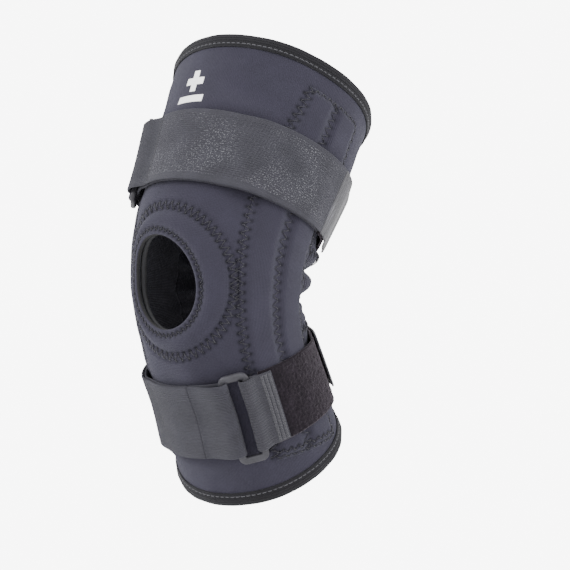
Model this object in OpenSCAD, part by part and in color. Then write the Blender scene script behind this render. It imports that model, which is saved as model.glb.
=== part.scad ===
// Open-patella knee brace: a neoprene sleeve with four flexible side stays, two elastic
// straps that double back through slot rings, and hook tabs that peel off.
// Frame: origin on the knee's flexion axis at the middle of the sleeve, +Z up,
// the kneecap faces -Y, the flexion axis is X. Millimetres.

/* [Leg] */
// Backward lean of the thigh above the knee, degrees
thigh_lean = 27.5; // [20:0.5:32]
// Backward lean of the calf below the knee, degrees
calf_lean = 26; // [20:0.5:30]
// Half length of the stretch over which the knee bends
bend_half = 48; // [44:1:56]

/* [Sleeve] */
// Mean height of the top edge above the knee axis
top_edge = 141.5; // [136:0.5:160]
// How far the top edge rises at the outer front
top_rise = 5.5; // [0:0.5:8]
// Mean depth of the bottom edge below the knee axis
bottom_edge = 115; // [112:0.5:130]
// How far the bottom edge drops at the outer front
bottom_drop = 11; // [0:0.5:12]
// Thickness of the laminated neoprene
neoprene = 4; // [3:0.25:5]
// Half height of the stretch panels that cross the knee
knee_half = 28; // [26:1:32]

/* [Kneecap opening] */
// Height of the opening's centre along the leg
opening_u = 2.5; // [0:0.5:5]
// Half height of the opening along the leg's middle line
opening_half_u = 19.5; // [16:0.5:21]
// Half width of the opening, degrees around the leg
opening_half_phi = 31; // [26:1:32]
// Where the opening's centre lies, degrees towards the outer side
opening_phi = -6; // [-7:1:0]
// How far the opening's top leans towards the inner side, degrees
opening_tilt = 3; // [0:1:5]
// Half height of the buttress ring along the leg's middle line
buttress_half_u = 30.5; // [29:0.5:32]
// Half width of the buttress ring, degrees around the leg
buttress_half_phi = 49; // [46:1:51]

/* [Straps] */
// Width of the straps
strap_w = 47; // [45:1:50]
// Thickness of the elastic strap
strap_t = 1.5; // [1.2:0.1:1.6]
// Middle of the thigh strap along the leg
thigh_strap_u = 67.5; // [66:0.5:70]
// Middle of the calf strap along the leg
calf_strap_u = -65; // [-68:0.5:-63]

/* [Slot rings] */
// Inner length of a ring, which takes the strap's width
ring_inner = 51; // [51:0.5:53]
// Width of the ring's slot
ring_slot = 10.5; // [10:0.25:11]
// Diameter of the ring's long bars
ring_bar = 4.5; // [4:0.1:5]

/* [Stays] */
// Width of a spiral stay
stay_w = 11; // [9:0.5:13]
// Thickness of a spiral stay
stay_t = 1.8; // [1.5:0.1:2]

/* [Hidden] */

// Girth stations down the leg: height, half width, depth in front, depth behind
stations = [[-150, 55, 57, 53], [-125, 54.5, 56.5, 54], [-90, 53.5, 54.5, 54], [-60, 52, 50.5, 53],
    [-25, 52.5, 53.5, 48], [0, 56, 60, 47], [25, 57, 62, 49], [60, 60, 62, 56],
    [100, 64.5, 66, 62], [155, 68, 71, 66]];
rise_phi = 42;              // where both edges reach furthest, degrees from the front
gap = 0.25;                 // clearance between neighbouring pieces
turn_step = 6;              // degrees between sections of a full sleeve
phi_seams = [53, 78, 106];  // the pocket's three rows of stitching
pocket_margin = 20;         // from the sleeve's top edge to the pocket's top
pocket_t = 0.9;
pocket_rise = 2.3;          // how far a stay lifts the pocket
binding_w = 9;
binding_t = 1;
fold_r = ring_bar / 2 + 0.05;        // bore of a webbing loop round a ring bar
web_t = 1.5;                         // webbing of the loops
bar_x = (ring_slot + ring_bar) / 2;  // from the ring's middle to each long bar
ring_end = 5;                        // width of the ring's short bars
ring_end_t = 3.6;                    // and their thickness
ring_lift = 6.9;                     // ring's middle plane above the sleeve
fold_ply = 5;                        // how far the fold's plies reach past the bar's centre
loop_ply = 9;                        // the same, for the sewn keeper loop
thigh_ring_phi = -52;
calf_ring_phi = 39;
calf_anchor_phi = -150;              // where the calf strap is sewn down
thigh_tab_phi = 102;                 // where the thigh hook tab begins
calf_tab_phi = -194;                 // where the calf hook tab begins
tab_len = 37;
tab_t = 1.6;
pile_t = 1.8;
outer_low = pile_t + 0.3;            // the doubled-back run lies over the pile and the inner run

// ---- the leg's surface ----
function smooth(u, k) = let (h = 9, table = [for (s = stations) [s[0], s[k]]])
    (lookup(u - h, table) + 2 * lookup(u, table) + lookup(u + h, table)) / 4;
function lean(u) = (thigh_lean - calf_lean) / 2
    + (thigh_lean + calf_lean) / 2 * max(-1, min(1, u / bend_half));
function middle(u) = let (
        curve = (thigh_lean + calf_lean) / (2 * bend_half) * PI / 180,
        mean = (thigh_lean - calf_lean) / 2,
        bent = max(-bend_half, min(bend_half, u)),
        a = lean(bent))
    [(cos(mean) - cos(a)) / curve + (u - bent) * sin(a),
     (sin(a) - sin(mean)) / curve + (u - bent) * cos(a)];
// Point at height u, phi degrees round from the front, off mm outside the sleeve
function leg(u, phi, off) = let (
        m = middle(u),
        a = lean(u),
        depth = (smooth(u, cos(phi) > 0 ? 2 : 3) + off) * cos(phi))
    [(smooth(u, 1) + off) * sin(phi), m[0] - depth * cos(a), m[1] + depth * sin(a)];
function top_rim(phi) = top_edge + top_rise * cos(phi - rise_phi);
function bottom_rim(phi) = -bottom_edge - bottom_drop * cos(phi - rise_phi);
// Degrees round the leg that span len millimetres at height u
function span(u, len) = len / smooth(u, 1) * 180 / PI;
function ease(x) = let (t = max(0, min(1, x))) t * t * (3 - 2 * t);
// How far the straps lie above the sleeve, which is more over the stay pockets
function lay(phi) = let (p = abs(((phi + 180) % 360 + 360) % 360 - 180))
    1.2 + 2.6 * ease((p - 30) / 18) * ease((128 - p) / 16);

// ---- solids swept round the leg ----
function unit(v) = v / norm(v);
// Sections are equal loops of points; a closed sweep joins the last one to the first
module sweep(sections, closed = false) {
    n = len(sections[0]);
    m = len(sections);
    points = [for (s = sections) each s];
    function quad(i, j) = let (
            a = i * n + j,
            b = i * n + (j + 1) % n,
            c = ((i + 1) % m) * n + (j + 1) % n,
            d = ((i + 1) % m) * n + j)
        [[a, b, c], [a, c, d]];
    sides = [for (i = [0 : m - (closed ? 1 : 2)], j = [0 : n - 1]) each quad(i, j)];
    // A section runs out along one face and back along the other, so its ends are strips
    function strip(base, flip) = [for (j = [0 : n / 2 - 2]) let (
            a = base + j, b = base + j + 1, c = base + n - 2 - j, d = base + n - 1 - j)
        each (flip ? [[a, c, b], [a, d, c]] : [[a, b, c], [a, c, d]])];
    caps = closed ? [] : concat(strip(0, true), strip((m - 1) * n, false));
    polyhedron(points, concat(sides, caps));
}
// Section of a band from height u0 to u1, between two offsets
function band(phi, u0, u1, low, high, steps) = concat(
    [for (i = [0 : steps]) leg(u0 + (u1 - u0) * i / steps, phi, high)],
    [for (i = [steps : -1 : 0]) leg(u0 + (u1 - u0) * i / steps, phi, low)]);
// A strip of cloth round the leg at one height
module wrap(u, phi0, phi1, low, thick, width, step = 5) {
    count = ceil(abs(phi1 - phi0) / step);
    sweep([for (i = [0 : count]) let (phi = phi0 + (phi1 - phi0) * i / count)
        band(phi, u - width / 2, u + width / 2, lay(phi) + low, lay(phi) + low + thick, 3)]);
}
// Puts children at a point of the leg: x round the leg, y up the leg, z outward
module on_leg(u, phi, off) {
    up = unit(leg(u + 2, phi, off) - leg(u - 2, phi, off));
    round_leg = leg(u, phi + 2, off) - leg(u, phi - 2, off);
    outward = unit(cross(round_leg, up));
    across = cross(up, outward);
    p = leg(u, phi, off);
    multmatrix([[across[0], up[0], outward[0], p[0]], [across[1], up[1], outward[1], p[1]],
        [across[2], up[2], outward[2], p[2]], [0, 0, 0, 1]]) children();
}

// ---- sleeve ----
module thigh_sleeve() {
    color([0.19, 0.19, 0.24]) sweep([for (phi = [0 : turn_step : 360 - turn_step])
        band(phi, knee_half, top_rim(phi) - binding_t - gap, -neoprene, 0, 8)], true);
}
module calf_sleeve() {
    color([0.19, 0.19, 0.24]) sweep([for (phi = [0 : turn_step : 360 - turn_step])
        band(phi, bottom_rim(phi) + binding_t + gap, -knee_half, -neoprene, 0, 8)], true);
}
// Points of the opening's edge and of a panel's rim, at the same share of a turn
function oval(t, half_u, half_phi, centre = 0, tilt = 0) =
    [opening_u + half_u * sin(t), centre - tilt * sin(t) + half_phi * cos(t)];
function panel_rim(t, half_u, half_phi) = let (
        c = cos(t),
        s = sin(t),
        reach = 1 / max(abs(c), abs(s), 1e-6))
    [half_u * s * reach, half_phi * c * reach];
module knee_front_panel() {
    rings = 5;
    color([0.19, 0.19, 0.24]) sweep([for (t = [0 : 5 : 355]) let (
            a = oval(t, opening_half_u, opening_half_phi, opening_phi, opening_tilt),
            b = panel_rim(t, knee_half - gap, phi_seams[2] - 1))
        concat([for (i = [0 : rings]) let (q = b + (a - b) * i / rings) leg(q[0], q[1], 0)],
            [for (i = [rings : -1 : 0]) let (q = b + (a - b) * i / rings)
                leg(q[0], q[1], -neoprene)])], true);
}
module popliteal_panel() {
    side = phi_seams[2];
    color([0.17, 0.17, 0.22]) sweep([for (i = [0 : 24]) let (phi = side + (360 - 2 * side) * i / 24)
        band(phi, -knee_half + gap, knee_half - gap, -neoprene + 1, 0, 8)]);
}
module kneecap_buttress() {
    low = -neoprene - 4;
    high = -neoprene - 0.8;
    shrink = 1.5;
    color([0.13, 0.13, 0.15]) sweep([for (t = [0 : 6 : 354]) let (
            a = oval(t, opening_half_u + shrink / 2, opening_half_phi + shrink, opening_phi,
                opening_tilt),
            b = oval(t, buttress_half_u, buttress_half_phi),
            m = (a + b) / 2)
        [leg(b[0], b[1], high), leg(m[0], m[1], high), leg(a[0], a[1], high),
         leg(a[0], a[1], low), leg(m[0], m[1], low), leg(b[0], b[1], low)]], true);
}
// A tape folded over the sleeve's edge; way is 1 at the top and -1 at the bottom
function hem(phi, edge, way) = let (
        out = gap + binding_t,
        deep = -neoprene - gap,
        loop = [[-binding_w, gap], [-binding_w, out], [-binding_t, out + 0.2], [0, out - 0.8],
            [0, deep], [-binding_t, deep - binding_t], [-binding_w, deep - binding_t],
            [-binding_w, deep], [-binding_t, deep], [-binding_t, gap]],
        turn = [for (q = loop) leg(edge + way * q[0], phi, q[1])])
    way > 0 ? turn : [for (i = [len(turn) - 1 : -1 : 0]) turn[i]];
module top_binding() {
    color([0.1, 0.1, 0.11]) sweep([for (phi = [0 : turn_step : 360 - turn_step])
        let (h = hem(phi, top_rim(phi), 1)) [for (i = [len(h) - 1 : -1 : 0]) h[i]]], true);
}
module bottom_binding() {
    color([0.1, 0.1, 0.11]) sweep([for (phi = [0 : turn_step : 360 - turn_step])
        let (h = hem(phi, bottom_rim(phi), -1)) [for (i = [len(h) - 1 : -1 : 0]) h[i]]], true);
}

// ---- stay pockets and stays ----
// How far the pocket stands up: down at each seam, up over each stay
function puff(phi) = let (p = abs(phi))
    pocket_rise * (ease((p - phi_seams[0]) / 7) * ease((phi_seams[1] - p) / 7)
        + ease((p - phi_seams[1]) / 7) * ease((phi_seams[2] - p) / 7));
function pocket_low(phi) = max(-102 - 0.15 * (abs(phi) - phi_seams[0]), bottom_rim(phi) + 11);
function pocket_high(phi) = max(top_rim(phi) - pocket_margin, 124);
module stay_pocket(side) {
    steps = 18;
    color([0.18, 0.18, 0.23]) sweep([for (i = [0 : steps]) let (
            phi = side * (phi_seams[0] + (phi_seams[2] - phi_seams[0])
                * (side > 0 ? i : steps - i) / steps),
            low = gap + puff(phi))
        band(phi, pocket_low(phi), pocket_high(phi), low, low + pocket_t, 14)]);
}
function stay_phi(rear) = rear ? (phi_seams[1] + phi_seams[2]) / 2 : (phi_seams[0] + phi_seams[1]) / 2;
stay_low = 0.32;
stay_reach = [-86, 113];
module stay(side, rear) {
    phi = side * stay_phi(rear);
    steps = 36;
    color([0.72, 0.74, 0.76]) sweep([for (i = [0 : steps]) let (
            u = stay_reach[0] + (stay_reach[1] - stay_reach[0]) * i / steps,
            half = span(u, stay_w / 2))
        [leg(u, phi - half, stay_low + 0.5), leg(u, phi - half * 0.7, stay_low),
         leg(u, phi + half * 0.7, stay_low), leg(u, phi + half, stay_low + 0.5),
         leg(u, phi + half, stay_low + stay_t - 0.5), leg(u, phi + half * 0.7, stay_low + stay_t),
         leg(u, phi - half * 0.7, stay_low + stay_t), leg(u, phi - half, stay_low + stay_t - 0.5)]]);
}
module end_caps(top) {
    length = 8;
    u = top ? stay_reach[1] + gap + length / 2 : stay_reach[0] - gap - length / 2;
    color([0.85, 0.85, 0.82]) for (side = [-1, 1], rear = [0, 1])
        on_leg(u, side * stay_phi(rear == 1), stay_low + stay_t / 2)
            rotate([90, 0, 0]) translate([0, 0, -length / 2]) linear_extrude(length)
                square([stay_w - 1, stay_t - 0.4], center = true);
}

// ---- rings, loops and folds, drawn with the bars along y ----
module ring() {
    outer_l = ring_inner + 2 * ring_end;
    outer_w = ring_slot + 2 * ring_bar;
    bar_l = ring_inner + 1;
    color([0.21, 0.21, 0.23]) {
        for (x = [-bar_x, bar_x]) translate([x, -bar_l / 2, 0]) rotate([-90, 0, 0])
            cylinder(h = bar_l, d = ring_bar, $fn = 48);
        for (y = [-1, 1]) translate([0, y * (ring_inner + ring_end) / 2, 0])
            linear_extrude(ring_end_t, center = true)
                square([outer_w - 2 * ring_end, ring_end], center = true);
        for (x = [-1, 1], y = [-1, 1])
            translate([x * (outer_w / 2 - ring_end), y * (outer_l / 2 - ring_end), 0])
                intersection() {
                    cylinder(h = ring_end_t, r = ring_end, center = true, $fn = 48);
                    translate([x * ring_end / 2, y * ring_end / 2, 0])
                        cube([ring_end, ring_end, ring_end_t + 1], center = true);
                }
    }
}
// Webbing round the bar at x = 0, with two plies that reach to x = way * ply
module webbing_fold(way, ply, tint) {
    width = strap_w - 1;
    outer = fold_r + web_t;
    color(tint) rotate([90, 0, 0]) linear_extrude(width, center = true) difference() {
        union() {
            circle(r = outer, $fn = 48);
            translate([way > 0 ? 0 : -ply, -outer]) square([ply, 2 * outer]);
        }
        circle(r = fold_r, $fn = 48);
        translate([way > 0 ? 0 : -ply - 1, -fold_r]) square([ply + 1, 2 * fold_r]);
    }
}
webbing = [0.24, 0.24, 0.26];
// way is +1 where the keeper lies further round the leg than the strap's fold
module placed_ring(u, phi) { on_leg(u, phi, ring_lift) ring(); }
module placed_fold(u, phi, way) {
    on_leg(u, phi, ring_lift) translate([-way * bar_x, 0, 0]) webbing_fold(-way, fold_ply, webbing);
}
module placed_loop(u, phi, way) {
    on_leg(u, phi, ring_lift) translate([way * bar_x, 0, 0]) webbing_fold(way, loop_ply, webbing);
}
// Three rows of stitches through the keeper's plies
module bartack(u, phi, way) {
    on_leg(u, phi, ring_lift) translate([way * (bar_x + loop_ply - 3), 0, 0])
        color([0.34, 0.34, 0.36]) for (row = [-1 : 1])
            translate([row * 1.8, 0, fold_r + web_t + 0.05 + 0.25])
                cube([0.8, strap_w - 4, 0.5], center = true);
}

// ---- straps ----
// Angle at which a strap's run starts, clear of the ring's fold or loop
function clear_phi(u, phi, way, reach) = phi + way * span(u, bar_x + reach + 1.4);
// The strap from angle from to angle to, as the run sewn down or as the run doubled back
module strap_run(u, from, to, low) { color(webbing) wrap(u, from, to, low, strap_t, strap_w); }
module pile_band(u, from, to) { color([0.12, 0.11, 0.13]) wrap(u, from, to, 0, pile_t, strap_w + 1); }
module hook_tab(u, from, way, clear = 0.5) {
    start = from + way * clear;
    end = start + way * span(u, tab_len);
    color([0.3, 0.3, 0.33]) wrap(u, min(start, end), max(start, end), outer_low, tab_t, strap_w);
}

thigh_fold_phi = clear_phi(thigh_strap_u, thigh_ring_phi, 1, fold_ply);
calf_fold_phi = clear_phi(calf_strap_u, calf_ring_phi, -1, fold_ply);
module thigh_strap_inner_run() { strap_run(thigh_strap_u, thigh_fold_phi, thigh_tab_phi, 0); }
module thigh_strap_outer_run() { strap_run(thigh_strap_u, thigh_fold_phi, thigh_tab_phi, outer_low); }
module thigh_pile_band() {
    pile_band(thigh_strap_u, thigh_tab_phi + 2 - 360,
        clear_phi(thigh_strap_u, thigh_ring_phi, -1, loop_ply));
}
module thigh_keeper_loop() { placed_loop(thigh_strap_u, thigh_ring_phi, -1); }
module thigh_keeper_bartack() { bartack(thigh_strap_u, thigh_ring_phi, -1); }
module thigh_ring() { placed_ring(thigh_strap_u, thigh_ring_phi); }
module thigh_strap_fold() { placed_fold(thigh_strap_u, thigh_ring_phi, -1); }
module thigh_hook_tab() { hook_tab(thigh_strap_u, thigh_tab_phi, 1); }

module calf_strap_inner_run() { strap_run(calf_strap_u, calf_anchor_phi, calf_fold_phi, 0); }
module calf_strap_outer_run() { strap_run(calf_strap_u, calf_tab_phi, calf_fold_phi, outer_low); }
module calf_pile_band() {
    pile_band(calf_strap_u, clear_phi(calf_strap_u, calf_ring_phi, 1, loop_ply),
        calf_anchor_phi - 2 + 360);
}
module calf_keeper_loop() { placed_loop(calf_strap_u, calf_ring_phi, 1); }
module calf_keeper_bartack() { bartack(calf_strap_u, calf_ring_phi, 1); }
module calf_ring() { placed_ring(calf_strap_u, calf_ring_phi); }
module calf_strap_fold() { placed_fold(calf_strap_u, calf_ring_phi, 1); }
module calf_hook_tab() { hook_tab(calf_strap_u, calf_tab_phi, -1, 1.8); }
// A plain printed mark: a plus over a short bar
module thigh_emblem() {
    color("white") on_leg(112, -7, 0.6) linear_extrude(0.5, center = true) {
        translate([0, 4]) square([11, 3.6], center = true);
        translate([0, 4]) square([3.6, 11], center = true);
        translate([0, -6]) square([15, 2.6], center = true);
    }
}

thigh_sleeve();
knee_front_panel();
popliteal_panel();
kneecap_buttress();
top_binding();
stay_pocket(1);  // outer_stay_pocket
stay_pocket(-1);  // inner_stay_pocket
stay(1, false);  // outer_front_stay
stay(1, true);  // outer_rear_stay
stay(-1, false);  // inner_front_stay
stay(-1, true);  // inner_rear_stay
end_caps(true);  // upper_stay_end_caps
end_caps(false);  // lower_stay_end_caps
thigh_emblem();
thigh_strap_inner_run();
thigh_strap_outer_run();
thigh_pile_band();
thigh_keeper_loop();
thigh_keeper_bartack();
thigh_ring();
thigh_strap_fold();
thigh_hook_tab();
calf_sleeve();
bottom_binding();
calf_strap_inner_run();
calf_strap_outer_run();
calf_pile_band();
calf_keeper_loop();
calf_keeper_bartack();
calf_ring();
calf_strap_fold();
calf_hook_tab();
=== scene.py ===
"""Open-patella knee brace, standing as it is worn on a bent leg; the leg itself is left out.

u runs along the leg from the knee (up is positive), phi goes round it in degrees (0 in front, 90 on
the +X side), and off is the height above the sleeve. These are millimetres, as in the CAD source,
and leg() turns them into metres in the shared frame.
"""
import math

import bpy
import numpy as np
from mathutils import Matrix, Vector, kdtree, noise


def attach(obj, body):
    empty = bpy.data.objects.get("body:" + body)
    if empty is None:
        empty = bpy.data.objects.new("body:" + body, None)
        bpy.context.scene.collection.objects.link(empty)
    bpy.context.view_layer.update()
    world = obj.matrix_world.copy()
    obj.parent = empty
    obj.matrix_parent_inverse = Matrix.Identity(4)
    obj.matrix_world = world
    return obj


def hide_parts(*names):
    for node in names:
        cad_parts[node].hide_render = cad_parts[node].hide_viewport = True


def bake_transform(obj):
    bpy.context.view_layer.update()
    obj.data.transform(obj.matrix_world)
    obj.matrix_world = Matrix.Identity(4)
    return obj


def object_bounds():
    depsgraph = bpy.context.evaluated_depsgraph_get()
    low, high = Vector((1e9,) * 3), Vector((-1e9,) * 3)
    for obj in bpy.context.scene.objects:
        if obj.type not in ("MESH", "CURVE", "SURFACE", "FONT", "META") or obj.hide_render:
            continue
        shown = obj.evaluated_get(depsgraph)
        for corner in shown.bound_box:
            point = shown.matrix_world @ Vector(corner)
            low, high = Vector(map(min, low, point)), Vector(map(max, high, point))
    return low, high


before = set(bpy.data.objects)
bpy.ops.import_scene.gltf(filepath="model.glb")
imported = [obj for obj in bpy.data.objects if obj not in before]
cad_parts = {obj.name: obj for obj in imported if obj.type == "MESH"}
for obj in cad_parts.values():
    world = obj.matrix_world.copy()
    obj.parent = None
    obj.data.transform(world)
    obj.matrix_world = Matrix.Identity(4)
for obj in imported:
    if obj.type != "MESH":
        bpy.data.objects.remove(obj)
cad_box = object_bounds()
MM = 0.001

# ---- the leg, as the CAD source states it ----
THIGH_LEAN, CALF_LEAN, BEND_HALF = 27.5, 26.0, 48.0
STATIONS = np.array([
    [-150, 55, 57, 53], [-125, 54.5, 56.5, 54], [-90, 53.5, 54.5, 54], [-60, 52, 50.5, 53],
    [-25, 52.5, 53.5, 48], [0, 56, 60, 47], [25, 57, 62, 49], [60, 60, 62, 56],
    [100, 64.5, 66, 62], [155, 68, 71, 66]], float)
RISE_PHI = 42
TOP_EDGE, TOP_RISE, BOTTOM_EDGE, BOTTOM_DROP = 141.5, 5.5, 115.0, 11.0
NEOPRENE = 4.0
OPENING_U, OPENING_HALF_U, OPENING_HALF_PHI = 2.5, 19.5, 31.0
OPENING_PHI, OPENING_TILT = -6.0, 3.0
SEAM_HALF_U, SEAM_HALF_PHI = 31.5, 50.0
POCKET_SEAMS = (53, 78, 106)
POCKET_MARGIN, POCKET_T, POCKET_RISE = 20, 0.9, 2.3
STRAP_W, STRAP_T, PILE_T, OUTER_LOW = 47.0, 1.5, 1.8, 2.1
THIGH_U, CALF_U = 67.5, -65.0
THIGH_RING, CALF_RING = -52.0, 39.0
THIGH_TAB, CALF_TAB, CALF_ANCHOR = 102.0, -194.0, -150.0
RING_INNER, RING_SLOT, RING_BAR, RING_END, RING_LIFT = 51.0, 10.5, 4.5, 5.0, 6.9
BAR_X = (RING_SLOT + RING_BAR) / 2
MEAN_RADIUS = 58
RADIAN = math.pi / 180


def smooth(u, column):
    h = 9
    value = lambda v: np.interp(v, STATIONS[:, 0], STATIONS[:, column])
    return (value(u - h) + 2 * value(u) + value(u + h)) / 4


def lean(u):
    share = np.clip(np.asarray(u, float) / BEND_HALF, -1, 1)
    return ((THIGH_LEAN - CALF_LEAN) / 2 + (THIGH_LEAN + CALF_LEAN) / 2 * share) * RADIAN


def middle(u):
    curve = (THIGH_LEAN + CALF_LEAN) / (2 * BEND_HALF) * RADIAN
    mean = (THIGH_LEAN - CALF_LEAN) / 2 * RADIAN
    bent = np.clip(u, -BEND_HALF, BEND_HALF)
    a = lean(u)
    return ((math.cos(mean) - np.cos(a)) / curve + (u - bent) * np.sin(a),
            (np.sin(a) - math.sin(mean)) / curve + (u - bent) * np.cos(a))


def leg(u, phi, off=0.0):
    """Points in metres at height u, phi degrees round, off millimetres outside the sleeve."""
    u, phi, off = np.broadcast_arrays(*(np.asarray(v, float) for v in (u, phi, off)))
    y, z = middle(u)
    a, p = lean(u), phi * RADIAN
    depth = (np.where(np.cos(p) > 0, smooth(u, 2), smooth(u, 3)) + off) * np.cos(p)
    return np.stack([(smooth(u, 1) + off) * np.sin(p), y - depth * np.cos(a),
                     z + depth * np.sin(a)], -1) * MM


def top_rim(phi):
    return TOP_EDGE + TOP_RISE * np.cos((phi - RISE_PHI) * RADIAN)


def bottom_rim(phi):
    return -BOTTOM_EDGE - BOTTOM_DROP * np.cos((phi - RISE_PHI) * RADIAN)


def ease(x):
    t = np.clip(x, 0, 1)
    return t * t * (3 - 2 * t)


def bell(d, width):
    return np.exp(-(d / width) ** 2)


def centred(phi):
    return (phi + 180) % 360 - 180


def lay(phi):
    """How far the straps lie above the sleeve, which is more over the stay pockets."""
    p = np.abs(centred(phi))
    return 1.2 + 2.6 * ease((p - 30) / 18) * ease((128 - p) / 16)


def degrees(u, millimetres):
    return millimetres / smooth(u, 1) / RADIAN


# ---- heights of the soft surfaces ----
def opening_edge(t, wider=0.0, turn=0.0):
    """The opening's edge, which leans to the inner side at its top."""
    return (OPENING_U + (OPENING_HALF_U + wider) * np.sin(t),
            OPENING_PHI - OPENING_TILT * np.sin(t) + (OPENING_HALF_PHI + turn) * np.cos(t))


def from_opening(u, phi):
    """Millimetres outside the opening's edge."""
    share = np.clip((u - OPENING_U) / OPENING_HALF_U, -1.3, 1.3)
    turned = centred(phi) - OPENING_PHI + OPENING_TILT * share
    return oval_distance(u, turned, OPENING_HALF_U, OPENING_HALF_PHI)


def oval_distance(u, phi, half_u, half_phi):
    """Millimetres outside an oval round the kneecap opening."""
    p = centred(phi)
    x = p * RADIAN * MEAN_RADIUS
    v = (u - OPENING_U) * 1.6
    q = np.hypot((u - OPENING_U) / half_u, p / half_phi) + 1e-6
    return (q - 1) * np.hypot(x, v) / q


def back_folds(u, phi):
    """The cloth bunches behind the bent knee."""
    p = np.abs(centred(phi))
    drift = 2.2 * np.sin(p * 0.07 + 1) + 1.6 * np.sin(centred(phi) * 0.045)
    v = u + drift
    profile = (5.6 * bell(v - 28, 7.5) + 6.2 * bell(v - 5, 7.5) - 3.2 * bell(v + 9, 5)
               + 2.6 * bell(v + 27, 8.5) - 1.6 * bell(v - 17, 4) + 1.2 * bell(v + 16, 4))
    return profile * ease((p - 98) / 22) * (0.82 + 0.18 * np.cos(p * 0.11))


def base_height(u, phi):
    """The sleeve's own form: long soft ripples, the dents under the straps, the folds behind."""
    p = centred(phi)
    ripple = (0.35 * np.sin(u * 0.085 + 1.7 * np.sin(p * 0.043 + 0.6))
              + 0.22 * np.sin(p * 0.12 + u * 0.05 + 2.1) + 0.12 * np.sin(u * 0.31 + p * 0.09))
    bulge = 0.0
    for middle_u in (THIGH_U, CALF_U):
        from_edge = np.abs(u - middle_u) - STRAP_W / 2
        bulge = bulge + 0.75 * bell(from_edge - 6, 6) - 0.9 * ease(-from_edge / 6 + 0.2)
    side = ease((np.abs(p) - 34) / 16) * ease((122 - np.abs(p)) / 12)
    drape = 0.8 * bell(u + 34, 9) * bell(p - 20, 42) * np.sin(p * 0.16 + 0.4)
    return ripple + bulge * (1 - 0.7 * side) + back_folds(u, phi) + drape * 0.5


def pad_height(u, phi):
    """The padded ring round the kneecap, sewn down along two seams."""
    outside = oval_distance(u, phi, SEAM_HALF_U, SEAM_HALF_PHI)
    inside = from_opening(u, phi)
    puff = 2.1 * ease((inside - 2) / 8) * ease((-outside - 1) / 9)
    rows = 0.75 * (bell(outside - 2.7, 1.3) + bell(outside + 2.7, 1.3)) - 0.25 * bell(outside, 1.6)
    return puff - rows - 0.8 * bell(inside - 4, 1.3) - 1.1 * bell(inside, 1.1)


def puff(phi):
    p = np.abs(centred(phi))
    a, b, c = POCKET_SEAMS
    return POCKET_RISE * (ease((p - a) / 7) * ease((b - p) / 7) + ease((p - b) / 7) * ease((c - p) / 7))


# ---- meshes ----
def make(name, points, faces, materials, slots=None, weave=None, painted_shade=None):
    """A mesh object from arrays; slots gives each face's material, weave its cloth coordinates."""
    mesh = bpy.data.meshes.new(name)
    mesh.vertices.add(len(points))
    mesh.vertices.foreach_set("co", np.asarray(points, np.float32).ravel())
    loops = np.asarray(faces, np.int32)
    mesh.loops.add(loops.size)
    mesh.loops.foreach_set("vertex_index", loops.ravel())
    mesh.polygons.add(len(loops))
    mesh.polygons.foreach_set("loop_start", np.arange(0, loops.size, loops.shape[1], dtype=np.int32))
    mesh.polygons.foreach_set("use_smooth", np.ones(len(loops), bool))
    for m in materials:
        mesh.materials.append(m)
    if slots is not None:
        mesh.polygons.foreach_set("material_index", np.asarray(slots, np.int32))
    if weave is not None:
        data = mesh.attributes.new("weave", "FLOAT_VECTOR", "POINT").data
        data.foreach_set("vector", np.asarray(weave, np.float32).ravel())
    # painted shade in and round the needle-hole dents, kept as a point attribute
    if painted_shade is not None:
        data = mesh.attributes.new("painted_shade", "FLOAT", "POINT").data
        data.foreach_set("value", np.asarray(painted_shade, np.float32).ravel())
    mesh.update(calc_edges=True)
    mesh.validate()
    obj = bpy.data.objects.new(name, mesh)
    bpy.context.collection.objects.link(obj)
    return obj


def open_edges(quads):
    """Directed edges of the quads that have no neighbour."""
    a = np.concatenate([quads[:, [i, (i + 1) % 4]] for i in range(4)])
    size = int(quads.max()) + 1
    key, back = a[:, 0] * size + a[:, 1], a[:, 1] * size + a[:, 0]
    return a[~np.isin(key, back)]


def cloth(name, outer, inner, quads, materials, weave, painted_shade=None):
    """A closed cloth from its two faces; materials are for the outside, the inside and the cut edge."""
    n = len(outer)
    rim = open_edges(quads)
    walls = np.stack([rim[:, 1], rim[:, 0], rim[:, 0] + n, rim[:, 1] + n], 1)
    faces = np.concatenate([quads, quads[:, ::-1] + n, walls])
    slots = np.concatenate([np.zeros(len(quads)), np.full(len(quads), min(1, len(materials) - 1)),
                            np.full(len(walls), len(materials) - 1)])
    painted_shade = np.zeros(n) if painted_shade is None else painted_shade
    return make(name, np.concatenate([outer, inner]), faces, materials, slots,
                np.concatenate([weave, weave]), np.concatenate([painted_shade, painted_shade * 0]))


def grid_quads(rows, columns, closed=False, start=0):
    i, j = np.meshgrid(np.arange(rows - 1), np.arange(columns if closed else columns - 1), indexing="ij")
    k = (j + 1) % columns
    quads = np.stack([i * columns + j, i * columns + k, (i + 1) * columns + k, (i + 1) * columns + j], -1)
    return quads.reshape(-1, 4) + start


def ring_quads(rows, columns):
    """A grid of quads that closes both ways, as on a ring."""
    here = np.arange(columns)
    ahead = (here + 1) % columns
    end = (rows - 1) * columns
    return np.concatenate([grid_quads(rows, columns, True), np.stack([end + here, end + ahead, ahead, here], 1)])


def keep_used(quads, *values):
    """The quads and the points' values, without the points that no quad uses."""
    used = np.unique(quads)
    renumber = np.full(used[-1] + 1, -1)
    renumber[used] = np.arange(len(used))
    return renumber[quads], *(v.ravel()[used] for v in values)


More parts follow.
